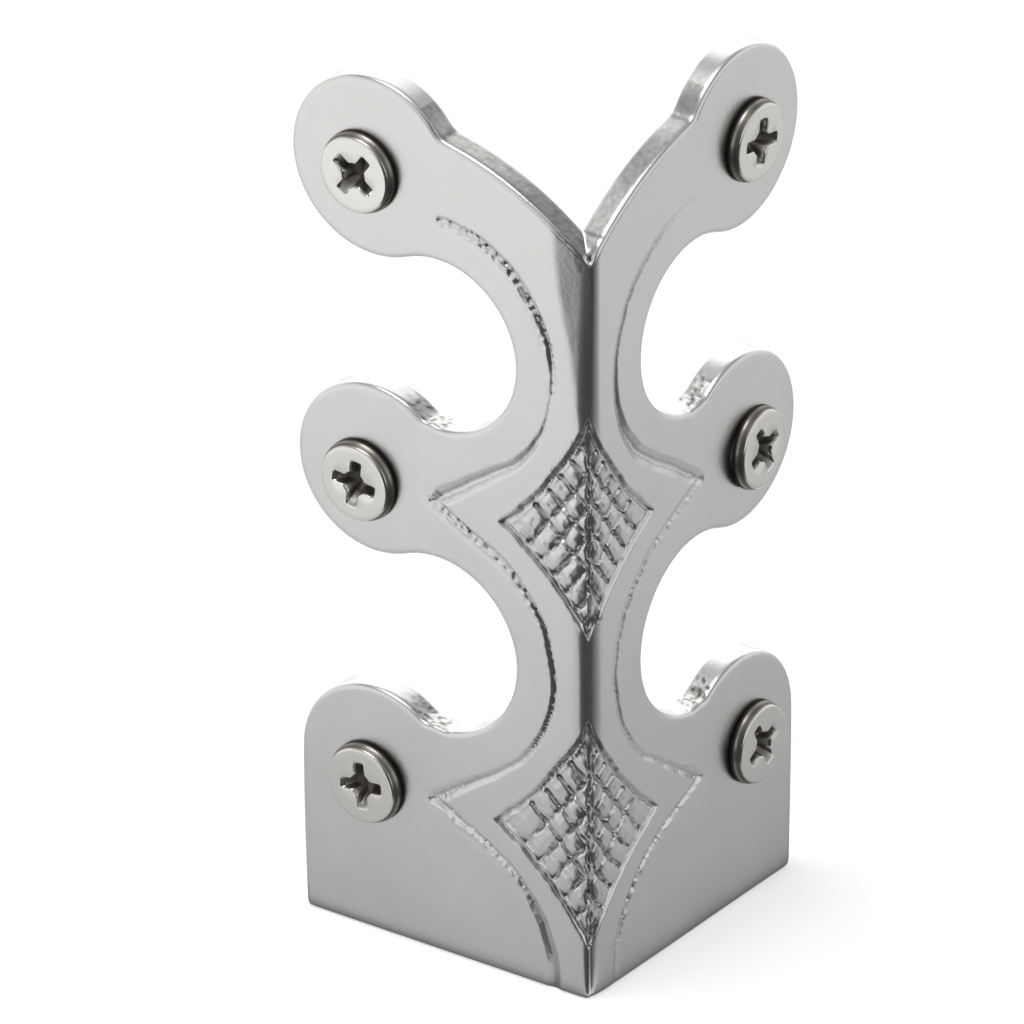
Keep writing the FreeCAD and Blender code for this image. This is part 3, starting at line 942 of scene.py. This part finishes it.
def seat_of(leg, hole, shift):
    """Where a head's underside rests on the face of a leg, in metres."""
    along, height = hole_reach + shift[0] - thickness, hole_heights[hole] + shift[1]
    place = (along, -thickness, height) if leg == "right" else (-thickness, along, height)
    return Vector(place) * 0.001


def turned(angle, axis):
    """Rotation by degrees round an axis."""
    return Matrix.Rotation(math.radians(angle), 3, axis)


blank = screw_blank()
seats = bpy.data.meshes.new("screw_seats")
seats.from_pydata([seat_of(*seat[:3]) for seat in screw_seats], [], [])
turns = seats.attributes.new("turn", "FLOAT_VECTOR", "POINT")
for (leg, _, _, turn, (lean_x, lean_y)), value in zip(screw_seats, turns.data):
    upright = turned(90, "X") if leg == "right" else turned(-90, "Z") @ turned(90, "X")
    tilt = turned(lean_x, "X") @ turned(lean_y, "Y")
    value.vector = (upright @ tilt @ turned(turn, "Z")).to_euler()
carrier = in_scene("screw_seats", seats)
modifier = carrier.modifiers.new("screws", "NODES")
modifier.node_group = screw_set_tree(bright_nickel())
sockets = {item.name: item.identifier for item in modifier.node_group.interface.items_tree
           if item.in_out == "INPUT"}
modifier[sockets["Blank"]] = blank
for name, size in (("Core Radius", thread_core), ("Thread Height", thread_height),
                   ("Pitch", thread_pitch), ("Length", thread_length)):
    modifier[sockets[name]] = size * 0.001
screws = plain_mesh(carrier, "screws")
for spare in (carrier, blank):
    bpy.data.objects.remove(spare)
shade_smooth(screws, 38)
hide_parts(*[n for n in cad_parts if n.startswith("screw_")])
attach(screws, "root")


# ---- Floor, lights and camera ----
# A pale floor under a wide white studio with a dim upper half and a soft overhead lamp. The metal
# mirrors cards beside, in front of and behind it, which the camera doesn't see.

def flat_card(name, corners, material):
    """A flat stage piece through the given corners."""
    data = bpy.data.meshes.new(name)
    data.from_pydata(corners, [], [tuple(range(len(corners)))])
    data.materials.append(material)
    card = in_scene(name, data)
    return card


def white_floor():
    """Matt white paper; the camera and the metal see it lifted to white, and the shadow stays."""
    material, tree = new_material("matt white studio paper")
    matt = add_node(tree, "ShaderNodeBsdfDiffuse", {"Color": linear("#E6E6E4")})
    lift = add_node(tree, "ShaderNodeEmission", {"Color": (1, 1, 1, 1), "Strength": 0.40})
    both = add_node(tree, "ShaderNodeAddShader", {0: matt, 1: lift})
    ray = add_node(tree, "ShaderNodeLightPath").outputs
    mirrored = add_node(tree, "ShaderNodeMath", {
        0: ray["Is Glossy Ray"], 1: ray["Is Transmission Ray"]}, operation="MAXIMUM")
    lifted = add_node(tree, "ShaderNodeMath", {
        0: ray["Is Camera Ray"], 1: mirrored}, operation="MAXIMUM")
    seen = add_node(tree, "ShaderNodeMixShader", {
        "Fac": lifted, 1: matt, 2: both})
    add_node(tree, "ShaderNodeOutputMaterial", {"Surface": seen})
    return material


flat_card("floor", ((-3, -3, 0), (3, -3, 0), (3, 3, 0), (-3, 3, 0)), white_floor())


def grade(ramp, stops):
    """Sets the grey levels of a colour ramp."""
    marks = ramp.color_ramp.elements
    marks.remove(marks[1])
    for k, (place, level) in enumerate(stops):
        mark = marks.new(place) if k else marks[0]
        mark.position = place
        mark.color = (level, level, level, 1)


def angle_around(tree, split):
    """Angle round the arris in degrees: 0 straight ahead of it, rising towards the right leg."""
    across = add_node(tree, "ShaderNodeMath", {0: split["X"], 1: split["Y"]}, operation="SUBTRACT")
    behind = add_node(tree, "ShaderNodeMath", {0: split["X"], 1: split["Y"]}, operation="ADD")
    ahead = add_node(tree, "ShaderNodeMath", {0: behind, 1: -1.0}, operation="MULTIPLY")
    angle = add_node(tree, "ShaderNodeMath", {
        0: across, 1: ahead}, operation="ARCTAN2")
    turn = add_node(tree, "ShaderNodeMath", {0: angle}, operation="DEGREES")
    return turn


def graded_light(name, axis, stops):
    """Glow whose level changes along X or Y, in metres, or around the arris, in degrees."""
    material, tree = new_material(name)
    place = add_node(tree, "ShaderNodeTexCoord").outputs["Object"]
    split = add_node(tree, "ShaderNodeSeparateXYZ", {"Vector": place}).outputs
    value = angle_around(tree, split) if axis == "around" else split[axis]
    near, far = stops[0][0], stops[-1][0]
    share = add_node(tree, "ShaderNodeMapRange", {"Value": value, "From Min": near, "From Max": far})
    ramp = add_node(tree, "ShaderNodeValToRGB", {"Fac": share})
    grade(ramp, [((distance - near) / (far - near), level) for distance, level in stops])
    glow = add_node(tree, "ShaderNodeEmission", {"Color": ramp})
    add_node(tree, "ShaderNodeOutputMaterial", {"Surface": glow})
    return material


# Cards that only the metal mirrors, the first three just above the floor: corners, axis and stops.
# Beside each leg a white one fades towards the foot, and is dark right under it. The dark one in
# front darkens the arris and grows lighter to both sides. The upright dark one behind the camera
# darkens the rims of the heads, and a bright one stands behind the casting.
low, lowest = 0.0001, 0.00006
cards = {
    "left_card": (
        ((-0.0016, -0.0022, lowest), (-0.6, 0.2155, lowest), (-0.6, 0.5, lowest), (-0.0016, 0.5, lowest)),
        "X", ((-0.0016, 0.08), (-0.0024, 0.20), (-0.003, 0.57), (-0.016, 0.64), (-0.043, 0.79),
              (-0.07, 0.94), (-0.11, 1.15), (-0.6, 1.25))),
    "right_card": (
        ((-0.002, -0.0016, lowest), (0.5, -0.0016, lowest), (0.5, -0.6, lowest)),
        "Y", ((-0.0016, 0.08), (-0.0024, 0.15), (-0.003, 0.42), (-0.009, 0.52), (-0.034, 0.62),
              (-0.068, 0.82), (-0.6, 0.95))),
    "front_card": (
        ((-0.0022, -0.0022, low), (-1.4, 0.506, low), (-1.4, -1.4, low), (1.175, -1.4, low)),
        "around", ((-65, 0.09), (-40, 0.07), (-5, 0.06), (15, 0.05), (33, 0.04), (45, 0.12),
                   (62, 0.24), (85, 0.42))),
    "camera_card": (
        ((-0.41, -0.63, 0.0), (-0.73, -0.17, 0.0), (-0.73, -0.17, 0.6), (-0.41, -0.63, 0.6)),
        "X", ((0, 0.02), (-1.0, 0.02))),
    "back_card": (
        ((0.30, 0.96, 0.05), (1.0, -0.02, 0.05), (1.0, -0.02, 1.0), (0.30, 0.96, 1.0)),
        "X", ((0, 1.7), (1.0, 1.7))),
}
for name, (corners, axis, stops) in cards.items():
    card = flat_card(name, corners, graded_light(name.replace("_", " "), axis, stops))
    card.visible_camera = card.visible_diffuse = card.visible_shadow = False

world = bpy.data.worlds.new("white studio")
world.use_nodes = True
tree = world.node_tree
tree.nodes.clear()
direction = add_node(tree, "ShaderNodeTexCoord").outputs["Generated"]
up = add_node(tree, "ShaderNodeSeparateXYZ", {"Vector": direction}).outputs["Z"]
ramp = add_node(tree, "ShaderNodeValToRGB", {"Fac": up})
grade(ramp, ((0.0, 1.0), (0.46, 1.0), (0.62, 0.42), (1.0, 0.42)))
sky = add_node(tree, "ShaderNodeBackground", {"Color": ramp, "Strength": 1.0})
add_node(tree, "ShaderNodeOutputWorld", {"Surface": sky})
bpy.context.scene.world = world

lamp_data = bpy.data.lights.new("overhead_lamp", "AREA")
lamp_data.shape, lamp_data.size, lamp_data.energy = "DISK", 1.1, 16.0
lamp = in_scene("overhead_lamp", lamp_data)
lamp.location = (-0.35, 0.25, 1.9)
lamp.rotation_euler = (-lamp.location).to_track_quat("-Z", "Y").to_euler()

# The camera looks at the arris foot from in front of it, a little to its left: its turn from
# straight ahead, how far it looks down, its roll, its distance, and how far it stands to the side
# and above for the photograph's framing
camera_data = bpy.data.cameras.new("camera")
camera_data.lens, camera_data.sensor_width = 867.2, 36.0
camera_data.clip_start, camera_data.clip_end = 0.1, 30.0
camera = in_scene("camera", camera_data)
turn, fall, roll = (math.radians(angle) for angle in (9.48, 27.81, -0.16))
distance, aside, lift = 1.959, -0.00621, 0.03894
across, inwards = Vector((1, -1, 0)).normalized(), Vector((1, 1, 0)).normalized()
ahead = across * math.sin(turn) * math.cos(fall) + inwards * math.cos(turn) * math.cos(fall)
ahead.z = -math.sin(fall)
level = across * math.cos(turn) - inwards * math.sin(turn)
above = level.cross(ahead)
right = level * math.cos(roll) + above * math.sin(roll)
above = above * math.cos(roll) - level * math.sin(roll)
centre = Vector((-0.0022, -0.0022, 0)) - ahead * distance + right * aside + above * lift
camera.matrix_world = (Matrix.Translation(centre)
                       @ Matrix((right, above, -ahead)).transposed().to_4x4())
bpy.context.scene.camera = camera
bpy.context.scene.view_settings.view_transform = "Standard"
